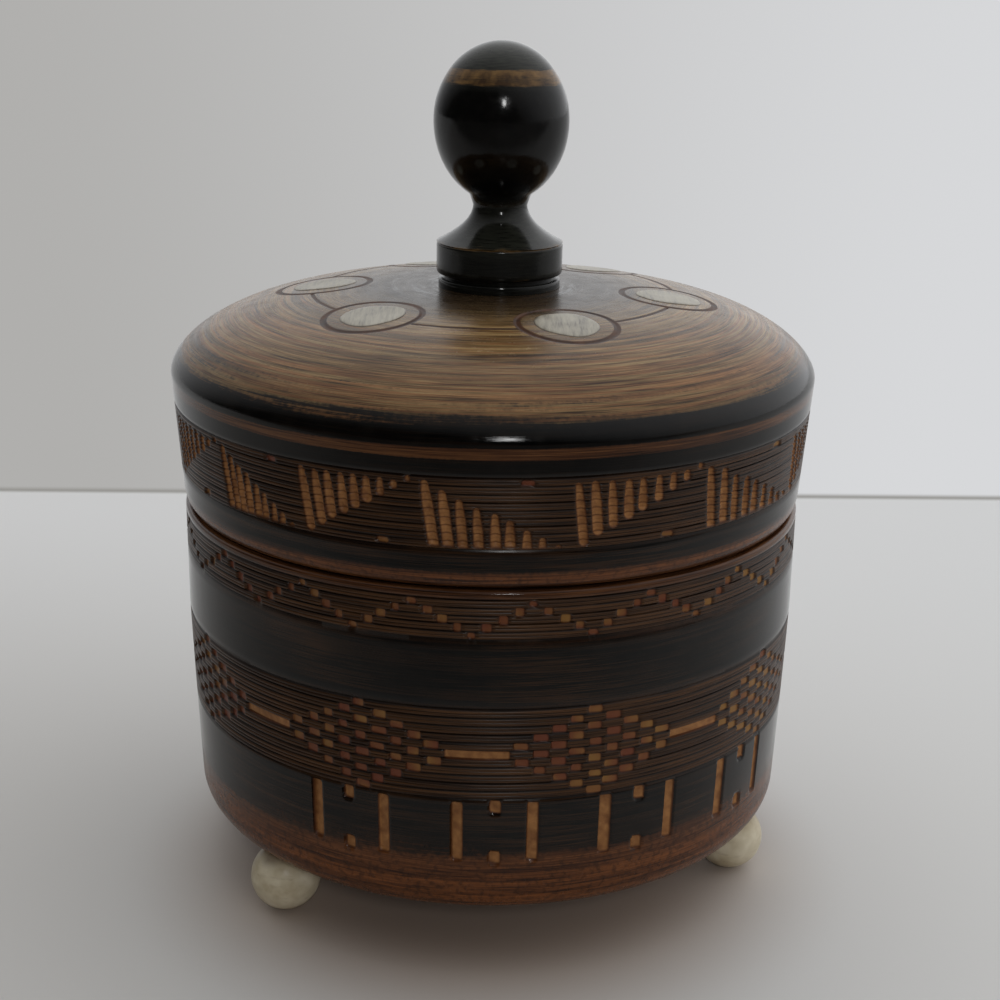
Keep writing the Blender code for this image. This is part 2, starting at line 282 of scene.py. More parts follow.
class Relief:
    """What the carver's tools take off a turned skin, kept per row and column."""

    def __init__(self, section, outer):
        self.radii = section[:, 0]
        self.heights = section[:, 1]
        self.outer = outer
        shape = (len(section), COLUMNS)
        self.depth = np.zeros(shape)
        self.cut = np.full(shape, NO_CUT)
        self.chip = np.full(shape, NO_CUT)
        self.groove = np.zeros(shape)
        self.line = np.full(shape, NO_CUT)

    def patch(self, angle, low, high, half_degrees):
        """Rows and columns near a mark, how far their points lie across it, and their heights."""
        heights = self.heights[:self.outer]
        on_side = self.radii[:self.outer] > SIDE_SHARE * BODY_R
        rows = np.flatnonzero((heights > low) & (heights < high) & on_side)
        columns = np.flatnonzero(np.abs(folded(ANGLES - angle)) < half_degrees)
        across = folded(ANGLES[columns] - angle)[None, :] * DEGREE * self.radii[rows][:, None]
        return np.ix_(rows, columns), across, self.heights[rows][:, None]

    def gouge(self, angle, low, high, width, lean, depth, square_foot):
        """One upright cut, narrow and leaning left at its top, with a round or a square foot."""
        spot, across, height = self.patch(angle, low - width, high + width, GOUGE_REACH)
        half = width / 2
        floor = low - width if square_foot else low
        reach = max(high - floor - width, SHORTEST_GOUGE)
        along = np.clip((height - floor - half) / reach, 0, 1)
        side = across + lean * ((height - low) / max(high - low, half) - 0.5)
        end = height - floor - half - along * reach
        entered = np.clip((high - height) / GOUGE_ENTRY, 0, 1)
        half = half * (GOUGE_TOP_SHARE + (1 - GOUGE_TOP_SHARE) * entered)
        edge = half - np.hypot(side, end)
        if square_foot:
            edge = np.minimum(edge, height - low)
        share = np.clip(edge / half, 0, 1)
        taken = depth * (1 - (1 - share) ** 2)
        trace = GROOVE_TRACE_SHARE * self.groove[spot] * GROOVE_DEPTH
        kept = self.depth[spot] * (share <= 0)
        self.depth[spot] = np.maximum(kept, taken + trace * (share > 0))
        self.cut[spot] = np.maximum(self.cut[spot], edge)

    def nick(self, angle, height, width, tall, depth, field):
        """One flat chip with rounded corners, deeper at its left side."""
        spot, across, heights = self.patch(angle, height - tall, height + tall, NICK_REACH)
        above = np.abs(heights - height)
        side = np.maximum(np.abs(across) - width / 2 + NICK_CORNER, 0)
        end = np.maximum(above - tall / 2 + NICK_CORNER, 0)
        inner = np.minimum(width / 2 - np.abs(across), tall / 2 - above)
        edge = np.where((side > 0) & (end > 0), NICK_CORNER - np.hypot(side, end), inner)
        tilt = 1 - NICK_TILT * np.clip(across / width, -0.5, 0.5)
        wall = ease((edge + NICK_WALL_FOOT) / NICK_WALL)
        self.depth[spot] = np.maximum(self.depth[spot], depth * tilt * wall)
        field[spot] = np.maximum(field[spot], edge)

    def grooves(self, band):
        """Fine turned grooves at the edges of a band's lands, and a fainter one along each land."""
        top, bottom, lands = band
        pitch = (top - bottom) / lands
        share = (top - self.heights) / pitch
        inside = (share > -0.01) & (share < lands + 0.01) & (np.arange(len(share)) < self.outer)
        near = np.abs(share - np.round(share)) / GROOVE_HALF_SHARE
        score = np.abs(share - np.floor(share) - 0.5) / SCORE_HALF_SHARE
        line = np.maximum(np.clip(1 - near, 0, 1), SCORE_DEPTH_SHARE * np.clip(1 - score, 0, 1))
        line = np.where(inside, line, 0)[:, None]
        wave = np.sin(ANGLES * DEGREE * GROOVE_WAVES + np.round(share)[:, None] * GROOVE_SHIFT)
        uneven = 1 + GROOVE_UNEVEN_SHARE * wave
        self.groove = np.maximum(self.groove, line * np.ones(COLUMNS))
        self.depth = np.maximum(self.depth, GROOVE_DEPTH * line * uneven)

    def ring(self, x, y, radius, width, depth, start, end):
        """A circle scribed in the dome round x, y, from the start to the end angle round the axis."""
        rows = np.flatnonzero(self.heights[:self.outer] > RIM_Z + SCRIBED_MARGIN)
        angle = ANGLES[None, :] * DEGREE
        radii = self.radii[rows][:, None]
        away = np.hypot(radii * np.cos(angle) - x, radii * np.sin(angle) - y)
        middle = (start + end) / 2
        within = np.abs(folded(ANGLES - middle)) <= (end - start) / 2
        edge = np.where(within[None, :], width / 2 - np.abs(away - radius), NO_CUT)
        self.depth[rows] = np.maximum(self.depth[rows], depth * ease(2 * edge / width))
        self.line[rows] = np.maximum(self.line[rows], edge)


def section_normals(section):
    """Outward normals of a half section whose points run with the skin on their left."""
    ahead = np.roll(section, -1, axis=0) - np.roll(section, 1, axis=0)
    ahead[0] = section[1] - section[0]
    ahead[-1] = section[-1] - section[-2]
    normals = np.stack([-ahead[:, 1], ahead[:, 0]], axis=1)
    return normals / np.linalg.norm(normals, axis=1)[:, None]


def skin_mesh(name, section, columns, depth=None, outward=1):
    """A closed turned mesh: a ring of points per row, and one on the axis at either end."""
    count = len(section)
    turns = np.arange(columns) * (2 * math.pi / columns) - math.pi
    radii = np.repeat(section[:, :1], columns, axis=1)
    heights = np.repeat(section[:, 1:], columns, axis=1)
    if depth is not None:
        normals = section_normals(section) * outward
        radii = radii - depth * normals[:, :1]
        heights = heights - depth * normals[:, 1:]
    points = np.stack([radii * np.cos(turns), radii * np.sin(turns), heights], axis=-1)
    points = points.reshape(-1, 3)
    first = count * columns
    last = first + 1
    points = np.vstack([points, [0, 0, section[0, 1]], [0, 0, section[-1, 1]]])
    here = np.arange(count * columns).reshape(count, columns)
    right = np.roll(here, -1, axis=1)
    quads = np.stack([here[:-1], here[1:], right[1:], right[:-1]], axis=-1).reshape(-1, 4)
    start_cap = [(first, int(a), int(b)) for a, b in zip(here[0], right[0])]
    end_cap = [(last, int(b), int(a)) for a, b in zip(here[-1], right[-1])]
    faces = quads.tolist() + start_cap + end_cap
    if outward < 0:
        faces = [tuple(reversed(face)) for face in faces]
    mesh = bpy.data.meshes.new(name)
    mesh.from_pydata(points.tolist(), [], faces)
    mesh.shade_smooth()
    return mesh


def add_layer(mesh, name, values):
    """Stores one number per ring point of a mesh, and 0 at its two points on the axis."""
    layer = mesh.attributes.new(name, "FLOAT", "POINT")
    layer.data.foreach_set("value", np.append(np.ravel(values).astype(float), [0.0, 0.0]))


def run_of(section):
    """Distance along a half section from its first point, in millimetres."""
    steps = np.linalg.norm(np.diff(section, axis=0), axis=1)
    return np.append(0, np.cumsum(steps)) / MM


def between(values, stops):
    """Reads values from a list of (place, amount) stops, in any order of place."""
    stops = sorted(stops)
    return np.interp(values, [place for place, _ in stops], [amount for _, amount in stops])


# Where the carver's marks lie, in degrees round the axis, and their sizes

CELL_EDGES = (-140.5, -121.8, -100.7, -77.0, -52.8, -26.3)
CELL_COUNT = 16
CUTS_PER_CELL = 9
CELL_MARGIN = 1.3
CELL_SPARE = 3.2
BAND_MARGIN = 0.25 * MM
SHORT_CUT_SHARE = 0.1
GOUGE_WIDTH = 1.3 * MM
GOUGE_DEPTH = 0.42 * MM
GOUGE_ENTRY = 2.8 * MM
GOUGE_TOP_SHARE = 0.6
GOUGE_LEAN = 1.1 * MM
GOUGE_REACH = 5.0
SHORTEST_GOUGE = 0.05 * MM
SIDE_SHARE = 0.9
GROOVE_TRACE_SHARE = 0.45
GROOVE_UNEVEN_SHARE = 0.25
GROOVE_WAVES = 3
GROOVE_SHIFT = 2.1
SCRIBED_MARGIN = 0.5 * MM
NICK_REACH = 6.5
NICK_CORNER = 0.3 * MM
NICK_TILT = 0.7
NICK_WALL = 0.16 * MM
NICK_WALL_FOOT = 0.05 * MM
ZIGZAG_START = -142.5
ZIGZAG_PERIOD = 20.0
ZIGZAG_STEP = 2.5
ZIGZAG_CHIP = 1.2 * MM
DIAMOND_START = -151.5
DIAMOND_COUNT = 9
CHIP_PITCH = 6.3
CHIP_WIDTH = 1.75 * MM
LINK_BAR = 7.6 * MM
CELL_CHIP = 1.6 * MM
BAR_START = -120.5
BAR_COUNT = 28
BAR_RUN = 8
BAR_WIDTH = 1.45 * MM
NUB_HEIGHT = 1.7 * MM
CHIP_DEPTH = 0.3 * MM


def cell_edges():
    """Left edges of the lid's cells: those that show as measured, the rest evenly spaced."""
    left = CELL_COUNT - len(CELL_EDGES)
    start = CELL_EDGES[-1]
    room = 360.0 + CELL_EDGES[0] - start
    return list(CELL_EDGES) + [start + room * (number + 1) / (left + 1) for number in range(left)]


def carve_lid_band(relief):
    """Cells of upright cuts, long at the left and short at the right, hung and stood by turns."""
    top, bottom, lands = LID_BAND
    land = (top - bottom) / lands
    edges = cell_edges()
    for number, edge in enumerate(edges):
        width = (edges[(number + 1) % CELL_COUNT] - edge) % 360.0
        stands = number % 2 == 0
        for cut in range(CUTS_PER_CELL):
            share = cut / (CUTS_PER_CELL - 1)
            angle = edge + CELL_MARGIN + (width - CELL_SPARE) * share + rng.uniform(-0.15, 0.15)
            length = (top - bottom - 2 * BAND_MARGIN) * (1 - (1 - SHORT_CUT_SHARE) * share)
            length += rng.uniform(-0.15, 0.15) * MM
            start = bottom + BAND_MARGIN if stands else top - BAND_MARGIN - length
            start += rng.uniform(-0.1, 0.1) * MM
            lean = GOUGE_LEAN * (1 - share) ** 1.5 * length / (top - bottom)
            breadth = GOUGE_WIDTH * rng.uniform(0.88, 1.06)
            depth = GOUGE_DEPTH * rng.uniform(0.85, 1.1)
            relief.gouge(angle, start, start + length, breadth, lean, depth, stands)
        spot = edge + 0.7 * width
        height = top - 0.55 * land if stands else bottom + 0.55 * land
        relief.nick(spot, height, CELL_CHIP, 0.85 * land, CHIP_DEPTH, relief.chip)


def carve_zigzag(relief):
    """A running zigzag of square chips, one on each land at either side of every peak."""
    top, bottom, lands = ZIGZAG_BAND
    land = (top - bottom) / lands
    for period in range(round(360 / ZIGZAG_PERIOD)):
        peak = ZIGZAG_START + ZIGZAG_PERIOD * period
        for row in range(lands):
            height = top - land * (row + 0.5)
            for side in (-1, 1):
                if side > 0 and row in (0, lands - 1):
                    continue
                turn = -ZIGZAG_STEP * row * side + rng.uniform(-0.25, 0.25)
                size = ZIGZAG_CHIP * rng.uniform(0.85, 1.15)
                tall = land * (rng.uniform(1.05, 1.3) if 0 < row < lands - 1 else 0.9)
                relief.nick(peak - turn, height, size, tall, CHIP_DEPTH, relief.chip)


def carve_diamonds(relief):
    """Diamonds of staggered chips over the lands, with a flat bar between each two."""
    top, bottom, lands = DIAMOND_BAND
    land = (top - bottom) / lands
    middle = (lands - 1) // 2
    step = 360.0 / DIAMOND_COUNT
    for number in range(DIAMOND_COUNT):
        centre = DIAMOND_START + step * number
        for row in range(lands):
            away = abs(row - middle)
            chips = lands // 2 - away + 1 if away else lands // 2 - 1
            for chip in range(chips):
                angle = centre + CHIP_PITCH * (chip - (chips - 1) / 2) + rng.uniform(-0.35, 0.35)
                height = top - land * (row + 0.5)
                size = CHIP_WIDTH * rng.uniform(0.8, 1.2)
                tall = land * rng.uniform(0.95, 1.15)
                relief.nick(angle, height, size, tall, CHIP_DEPTH, relief.chip)
        height = top - land * (middle + 0.5)
        relief.nick(centre + step / 2, height, LINK_BAR, 1.2 * land, CHIP_DEPTH, relief.cut)


def carve_bars(relief):
    """Two runs of tall bars above the base, with short nubs in every other gap."""
    step = 360.0 / BAR_COUNT
    half = BAR_COUNT // 2
    for number in [*range(BAR_RUN), *range(half, half + BAR_RUN)]:
        angle = BAR_START + step * number
        top = BARS_TOP - rng.uniform(0, 0.25) * MM
        bottom = BARS_BOTTOM + rng.uniform(-0.2, 0.2) * MM
        relief.nick(angle, (bottom + top) / 2, BAR_WIDTH, top - bottom, GOUGE_DEPTH, relief.cut)
        if number % 2 == 0:
            for height in (BARS_TOP - 0.7 * MM, BARS_BOTTOM + 0.4 * MM):
                spot = angle + step / 2
                relief.nick(spot, height, BAR_WIDTH, NUB_HEIGHT, GOUGE_DEPTH, relief.cut)


def inlay_places():
    """Where every inlay lies, x and y."""
    turns = [turn * DEGREE for turn in INLAY_TURNS]
    return [(INLAY_CIRCLE_R * math.cos(turn), INLAY_CIRCLE_R * math.sin(turn)) for turn in turns]


def carve_dome(relief):
    """Rings scribed round the inlays, and arcs that link the rings."""
    reach = math.degrees(RING_R / INLAY_CIRCLE_R) + 0.5
    for x, y in inlay_places():
        relief.ring(x, y, RING_R, RING_WIDTH, SCRIBED_DEPTH, -181, 181)
    for turn, after in zip(INLAY_TURNS, INLAY_TURNS[1:] + (INLAY_TURNS[0] + 360.0,)):
        relief.ring(0, 0, LINK_R, LINK_WIDTH, SCRIBED_DEPTH, turn + reach, after - reach)


# Materials

def srgb(red, green, blue):
    """A linear colour from values as a picture shows them, 0 to 255."""
    linear = []
    for channel in (red, green, blue):
        share = channel / 255
        linear.append(share / 12.92 if share <= 0.04045 else ((share + 0.055) / 1.055) ** 2.4)
    return (*linear, 1.0)


class Nodes:
    """Short calls for building the nodes of one material."""

    def __init__(self, name):
        self.material = bpy.data.materials.new(name)
        self.material.use_nodes = True
        self.tree = self.material.node_tree
        self.shader = self.tree.nodes["Principled BSDF"]
        self.place = self.add("TexCoord", {}).outputs["Object"]

    def feed(self, socket, value):
        """Links a socket to another, or sets its value."""
        if isinstance(value, bpy.types.NodeSocket):
            self.tree.links.new(value, socket)
        else:
            socket.default_value = value

    def add(self, kind, inputs, **settings):
        """A node of a kind, with its settings and its inputs by name or number."""
        node = self.tree.nodes.new("ShaderNode" + kind)
        for key, value in settings.items():
            setattr(node, key, value)
        for key, value in inputs.items():
            self.feed(node.inputs[key], value)
        return node

    def layer(self, name):
        """A number stored on the mesh."""
        return self.add("Attribute", {}, attribute_name=name).outputs["Fac"]

    def math(self, operation, first, second):
        """Arithmetic on two numbers."""
        return self.add("Math", {0: first, 1: second}, operation=operation).outputs[0]

    def vector(self, operation, first, second=(0, 0, 0)):
        """Arithmetic on two vectors."""
        return self.add("VectorMath", {0: first, 1: second}, operation=operation).outputs[0]

    def noise(self, vector, scale, detail=2.0, roughness=0.5):
        """Soft noise between 0 and 1."""
        inputs = {"Vector": vector, "Scale": scale, "Detail": detail, "Roughness": roughness}
        return self.add("TexNoise", inputs).outputs["Fac"]

    def step(self, value, low, high, start=0.0, end=1.0):
        """A smooth change from start to end as a value goes from low to high."""
        inputs = {"Value": value, "From Min": low, "From Max": high, "To Min": start, "To Max": end}
        return self.add("MapRange", inputs, interpolation_type="SMOOTHSTEP").outputs["Result"]

    def mix(self, amount, first, second):
        """A colour between two others."""
        return self.add("Mix", {0: amount, 6: first, 7: second}, data_type="RGBA").outputs[2]

    def shades(self, value, *stops):
        """A colour read from (place, colour) stops."""
        ramp = self.add("ValToRGB", {"Fac": value})
        band = ramp.color_ramp
        band.elements[0].position, band.elements[0].color = stops[0]
        band.elements[1].position, band.elements[1].color = stops[-1]
        for place, colour in stops[1:-1]:
            band.elements.new(place).color = colour
        return ramp.outputs["Color"]

    def bump(self, height, strength, distance):
        """A normal that leans with a height."""
        inputs = {"Height": height, "Strength": strength, "Distance": distance}
        return self.add("Bump", inputs).outputs["Normal"]

    def streaks(self, run, round_scale, run_scale, detail=3.0):
        """Noise drawn out round the axis, as turning leaves it."""
        flat = self.vector("NORMALIZE", self.vector("MULTIPLY", self.place, (1.0, 1.0, 0.0)))
        spun = self.vector("MULTIPLY", flat, (round_scale, round_scale, 0.0))
        lift = self.add("CombineXYZ", {"Z": self.math("MULTIPLY", run, run_scale)}).outputs[0]
        return self.noise(self.vector("ADD", spun, lift), 1.0, detail, 0.6)

    def finish(self, colour, roughness, normal, gloss=0.3):
        """Feeds the shader."""
        self.feed(self.shader.inputs["Base Color"], colour)
        self.feed(self.shader.inputs["Roughness"], roughness)
        self.feed(self.shader.inputs["Normal"], normal)
        self.feed(self.shader.inputs["Specular IOR Level"], gloss)
        return self.material


def lacquered_wood():
    """Dark lacquer over streaky turned wood, with bare wood in the cuts."""
    n = Nodes("lacquered_wood")
    run = n.layer("run")
    long = n.streaks(run, 1.6, 1.7)
    fine = n.streaks(run, 6.0, 9.0)
    spots = n.noise(n.place, 420.0, 3.0, 0.6)
    cloud = n.noise(n.place, 70.0, 2.0)
    specks = n.noise(n.place, 1600.0, 2.0)
    grain = n.math("ADD", n.math("MULTIPLY", long, 0.5), n.math("MULTIPLY", fine, 0.5))
    tint = n.math("ADD", n.streaks(run, 0.9, 3.0), n.step(run, 12.0, 38.0, -0.12, 0.05))
    low, middle, high = 0.37, 0.49, 0.61
    olives = ((low, srgb(48, 34, 19)), (middle, srgb(117, 92, 58)), (high, srgb(162, 135, 92)))
    russets = ((low, srgb(50, 29, 16)), (middle, srgb(124, 85, 53)), (high, srgb(164, 119, 75)))
    olive = n.shades(grain, *olives)
    russet = n.shades(grain, *russets)
    dome = n.mix(n.step(tint, 0.44, 0.64), olive, russet)
    smear = n.streaks(run, 0.8, 0.6)
    dome = n.mix(n.step(smear, 0.48, 0.7, 0.0, 0.45), dome, srgb(46, 30, 18))
    dome = n.mix(n.step(run, 13.0, 24.0, 0.88, 0.0), dome, srgb(40, 30, 21))
    browns = ((0.38, srgb(32, 18, 10)), (0.5, srgb(78, 47, 27)), (0.6, srgb(108, 71, 42)))
    side = n.shades(grain, *browns)
    black = n.shades(spots, (0.35, srgb(3, 3, 3)), (0.7, srgb(13, 12, 10)))
    patchy = n.math("MULTIPLY", n.step(cloud, 0.36, 0.66, 0.3, 1.0), n.step(grain, 0.42, 0.62))
    black = n.mix(n.math("MULTIPLY", patchy, n.layer("faded")), black, srgb(56, 37, 23))
    rust = n.shades(grain, (0.38, srgb(48, 25, 13)), (0.6, srgb(126, 74, 38)))
    rust = n.mix(n.step(specks, 0.45, 0.7, 0.0, 0.55), rust, srgb(40, 22, 12))
    side = n.mix(n.layer("worn"), side, rust)
    brown = n.mix(n.layer("dome"), side, dome)
    uneven = n.math("ADD", n.math("MULTIPLY", grain, 0.88), n.math("MULTIPLY", specks, 0.12))
    frayed = n.math("MULTIPLY", n.math("SUBTRACT", uneven, 0.5), 3.4)
    ragged = n.math("ADD", n.layer("black"), frayed)
    ragged = n.math("ADD", ragged, n.math("MULTIPLY", n.math("SUBTRACT", smear, 0.5), 1.4))
    lacquer = n.step(ragged, 0.3, 0.75)
    colour = n.mix(lacquer, brown, black)
    ground = n.shades(grain, (0.38, srgb(26, 15, 9)), (0.6, srgb(84, 56, 33)))
    colour = n.mix(n.layer("band"), colour, ground)
    groove = n.layer("groove")
    filled = n.step(n.noise(n.place, 160.0, 3.0), 0.3, 0.55, 0.45, 1.0)
    scored = n.math("MULTIPLY", n.step(groove, 0.0, 0.7), filled)
    colour = n.mix(scored, colour, srgb(25, 16, 10))
    jagged = n.math("MULTIPLY", n.math("SUBTRACT", spots, 0.5), 0.12)
    chip_edge = n.math("ADD", n.layer("chip"), jagged)
    # Painted light: chips turn more golden towards the right, where the light falls on them.
    painted_light_right = n.step(n.add("SeparateXYZ", {0: n.place}).outputs["X"], 0.005, 0.036, 0.0, 0.16)
    chip_noise_and_painted_light = n.math("ADD", n.noise(n.place, 230.0, 1.0), painted_light_right)
    golds = ((0.36, srgb(116, 64, 44)), (0.5, srgb(124, 76, 47)), (0.68, srgb(144, 104, 56)))
    chipped = n.shades(chip_noise_and_painted_light, *golds)
    # Painted shade: a dark rim on each chip's walls.
    chipped = n.mix(n.step(chip_edge, 0.02, 0.24), srgb(58, 28, 15), chipped)
    colour = n.mix(n.step(chip_edge, -0.02, 0.06), colour, chipped)
    cut_edge = n.math("ADD", n.layer("cut"), jagged)
    fresh = n.noise(n.place, 900.0, 3.0)
    bare = n.shades(fresh, (0.3, srgb(128, 84, 49)), (0.7, srgb(172, 121, 73)))
    bare = n.mix(n.step(groove, 0.2, 0.9, 0.0, 0.62), bare, srgb(84, 46, 25))
    rind = n.mix(n.step(cut_edge, 0.0, 0.26), srgb(70, 36, 18), bare)
    cut = n.step(cut_edge, -0.03, 0.05)
    colour = n.mix(cut, colour, rind)
    line = n.step(n.math("ADD", n.layer("line"), jagged), -0.08, 0.06)
    scribed = n.shades(spots, (0.35, srgb(50, 30, 19)), (0.65, srgb(86, 55, 35)))
    colour = n.mix(line, colour, scribed)
    open_wood = n.math("MAXIMUM", cut, n.math("MULTIPLY", n.step(chip_edge, -0.02, 0.1), 0.8))
    polish = n.step(spots, 0.3, 0.75, 0.06, 0.14)
    dull = n.math("MAXIMUM", open_wood, n.math("MULTIPLY", groove, 0.6))
    crown = n.math("MULTIPLY", n.layer("dome"), n.step(run, 18.0, 36.0, 0.5, 0.4))
    crown = n.math("MULTIPLY", crown, n.math("SUBTRACT", 1.0, lacquer))
    handled = n.math("MULTIPLY", n.layer("worn"), 0.5)
    rubbed = n.math("ADD", n.math("MULTIPLY", n.layer("band"), 0.7), handled)
    matt = n.math("MAXIMUM", rubbed, crown)
    worked = n.math("MAXIMUM", n.math("MAXIMUM", dull, matt), line)
    roughness = n.math("ADD", polish, n.math("MULTIPLY", worked, 0.35))
    height = n.math("ADD", n.math("MULTIPLY", fine, 0.5), n.math("MULTIPLY", spots, 0.2))
    gloss = n.step(worked, 0.0, 0.8, 0.24, 0.18)
    return n.finish(colour, roughness, n.bump(height, 0.1, 0.0002), gloss)


def black_lacquer():
    """Black lacquer of the knob, worn brown at its edges, with a gold-brown ring near its top and a
    painted grey sheen above the ring and on the flare above its collar.
    """
    n = Nodes("black_lacquer")
    run = n.layer("run")
    long = n.streaks(run, 3.0, 4.0)
    spots = n.noise(n.place, 500.0, 3.0, 0.6)
    colour = n.shades(spots, (0.3, srgb(5, 5, 5)), (0.75, srgb(17, 15, 13)))
    worn = n.math("ADD", n.layer("wear"), n.math("MULTIPLY", n.math("SUBTRACT", long, 0.5), 1.2))
    # Painted sheen: grey-green streaks stand in for the reflection of bright light above the ring and
    # on the flare.
    painted_sheen_streaks = n.math("MULTIPLY", n.layer("painted_sheen"), n.step(long, 0.3, 0.65, 0.3, 1.0))
    colour = n.mix(painted_sheen_streaks, colour, srgb(52, 53, 45))
    brown = n.shades(spots, (0.35, srgb(66, 46, 26)), (0.65, srgb(130, 98, 56)))
    colour = n.mix(n.step(worn, 0.4, 0.9), colour, brown)
    roughness = n.step(spots, 0.3, 0.75, 0.1, 0.2)
    return n.finish(colour, roughness, n.bump(spots, 0.12, 0.0002), 0.25)


def shell_inlay():
    """Pale inlay with fine grey-brown streaks."""
    n = Nodes("shell_inlay")
    stretched = n.vector("MULTIPLY", n.place, (2600.0, 260.0, 260.0))
    streak = n.noise(stretched, 1.0, 4.0, 0.65)
    cloud = n.noise(n.place, 260.0, 2.0)
    amount = n.math("ADD", n.math("MULTIPLY", streak, 0.7), n.math("MULTIPLY", cloud, 0.3))
    pales = ((0.34, srgb(104, 97, 84)), (0.46, srgb(156, 149, 133)), (0.62, srgb(184, 178, 162)))
    colour = n.shades(amount, *pales)
    colour = n.mix(n.step(n.layer("rim"), 0.55, 1.0), colour, srgb(72, 56, 40))
    roughness = n.step(streak, 0.3, 0.7, 0.3, 0.45)
    return n.finish(colour, roughness, n.bump(streak, 0.3, 0.0001))


def bone():
    """Ivory-white feet, stained a little where they meet the base."""
    n = Nodes("bone")
    fibre = n.noise(n.vector("MULTIPLY", n.place, (400.0, 400.0, 1400.0)), 1.0, 3.0)
    cloud = n.noise(n.place, 300.0, 3.0)
    creams = ((0.3, srgb(176, 160, 128)), (0.5, srgb(206, 194, 166)), (0.7, srgb(226, 216, 192)))
    colour = n.shades(cloud, *creams)
    colour = n.mix(n.step(fibre, 0.55, 0.8, 0.0, 0.35), colour, srgb(140, 116, 84))
    stain = n.math("ADD", n.layer("wear"), n.math("MULTIPLY", n.math("SUBTRACT", cloud, 0.5), 0.8))
    colour = n.mix(n.step(stain, 0.4, 1.0), colour, srgb(96, 70, 46))
    roughness = n.step(cloud, 0.3, 0.7, 0.3, 0.42)
    return n.finish(colour, roughness, n.bump(fibre, 0.2, 0.0001))


# Pieces

def add_piece(name, mesh, material, body, node):
    """Places a finished mesh as a piece that stands for a solid of the frame."""
    mesh.materials.append(material)
    piece = bpy.data.objects.new(name, mesh)
    bpy.context.scene.collection.objects.link(piece)
    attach(piece, body)
    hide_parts(node)
    return piece


def turned_mesh(name, section, outer, relief, shares, outward):
    """A carved and turned mesh with the layers that the lacquer reads."""
    mesh = skin_mesh(name, section, COLUMNS, relief.depth, outward)
    run = run_of(section)
    add_layer(mesh, "run", np.repeat(run[:, None], COLUMNS, axis=1))
    add_layer(mesh, "cut", relief.cut / MM)
    add_layer(mesh, "chip", relief.chip / MM)
    add_layer(mesh, "groove", relief.groove)
    add_layer(mesh, "line", relief.line / MM)
    outside = (np.arange(len(section)) < outer).astype(float)
    for layer, rows in shares.items():
        add_layer(mesh, layer, np.repeat((rows * outside)[:, None], COLUMNS, axis=1))
    mesh.set_sharp_from_angle(angle=55 * DEGREE)
    return mesh


# Finish along the sides, as stops of height over the rim in millimetres and amount
LID_SIDE_BLACK = [
    (-16.6, -0.2), (-15.0, -0.1), (-14.4, 1.2), (-3.9, 1.8), (-1.85, 1.8), (-1.45, -0.1),
    (-0.45, -0.1), (-0.1, 1.8),
]
LID_SIDE_BAND = [(-12.05, 0), (-11.95, 1), (-3.75, 1), (-3.65, 0)]
LID_SIDE_FADED = [(-15, 1), (-12, 0.9), (-11.9, 0.25)]
LID_SIDE_WORN = [(-16.6, 0.9), (-15.2, 0.8), (-14.4, 0)]
TUB_BLACK = [
    (-54, -0.3), (-51, 0.3), (-48, 1), (-43, 1.3), (-31.4, 0.7), (-29, 1.3), (-24, 1.3),
    (-22.8, 0.8), (-22.6, 0.2), (-16.9, 0.2),
]
TUB_BANDS = [
    (-42.45, 0), (-42.4, 1), (-31.1, 1), (-31.05, 0), (-22.65, 0), (-22.6, 1), (-17.9, 1),
    (-17.85, 0),
]
TUB_WORN = [(-53, 1), (-47, 0)]
TUB_FADED = [(-55, 1), (-22, 1)]
KNOB_WEAR = [
    (10, 0.3), (11.2, 0.2), (11.6, 0.5), (12.1, 0.15), (15.0, 0.15), (15.4, 0.75), (15.8, 0.2),
    (18.5, 0.1), (34.6, 0.1), (35.0, 0.85), (35.6, 0.75), (36.5, 0.95), (36.9, 0.1), (40, 0.1),
]
# Painted grey sheen on the knob, as stops of height over the rim in millimetres and amount
KNOB_PAINTED_SHEEN = [(14, 0.2), (15.4, 0.6), (19, 0.5), (22, 0), (34, 0), (36, 0.6), (39, 1)]

# Black on the dome, as stops of radius in millimetres and amount
DOME_BLACK = [
    (0, 0.4), (9, 0.3), (13, 0.1), (16, 0), (30, 0), (36, 0.12), (38.8, 0.34), (39.7, 0.55),
    (40.1, 1), (40.4, 1.8),
]

# Stain of a foot, as stops of height in millimetres and amount
FOOT_STAIN = [(0, 0.25), (1, 0.0), (5.5, 0.0), (7.6, 0.7), (9, 1)]


def make_lid(wood):
    """The domed lid with its scribed rings and its band of gouge cuts."""
    section, outer = lid_section()
    relief = Relief(section, outer)
    relief.grooves(LID_BAND)
    carve_lid_band(relief)
    carve_dome(relief)
    height = (section[:, 1] - RIM_Z) / MM
    radius = section[:, 0] / MM
    on_dome = height > 0.1
    shares = {
        "black": np.where(on_dome, between(radius, DOME_BLACK), between(height, LID_SIDE_BLACK)),
        "band": between(height, LID_SIDE_BAND),
        "dome": on_dome.astype(float),
        "faded": between(height, LID_SIDE_FADED),
        "worn": between(height, LID_SIDE_WORN),
    }
    mesh = turned_mesh("carved_lid", section, outer, relief, shares, 1)
    return add_piece("carved_lid", mesh, wood, "lid", "lid")


def make_tub(wood):
    """The tub with its zigzag, its diamonds and its bars."""
    section, outer = tub_section()
    relief = Relief(section, outer)
    relief.grooves(ZIGZAG_BAND)
    relief.grooves(DIAMOND_BAND)
    carve_zigzag(relief)
    carve_diamonds(relief)
    carve_bars(relief)
    height = (section[:, 1] - RIM_Z) / MM
    shares = {
        "black": between(height, TUB_BLACK),
        "band": between(height, TUB_BANDS),
        "dome": np.zeros(len(section)),
        "faded": between(height, TUB_FADED),
        "worn": between(height, TUB_WORN),
    }
    mesh = turned_mesh("carved_tub", section, outer, relief, shares, -1)
    return add_piece("carved_tub", mesh, wood, "box", "box_body")


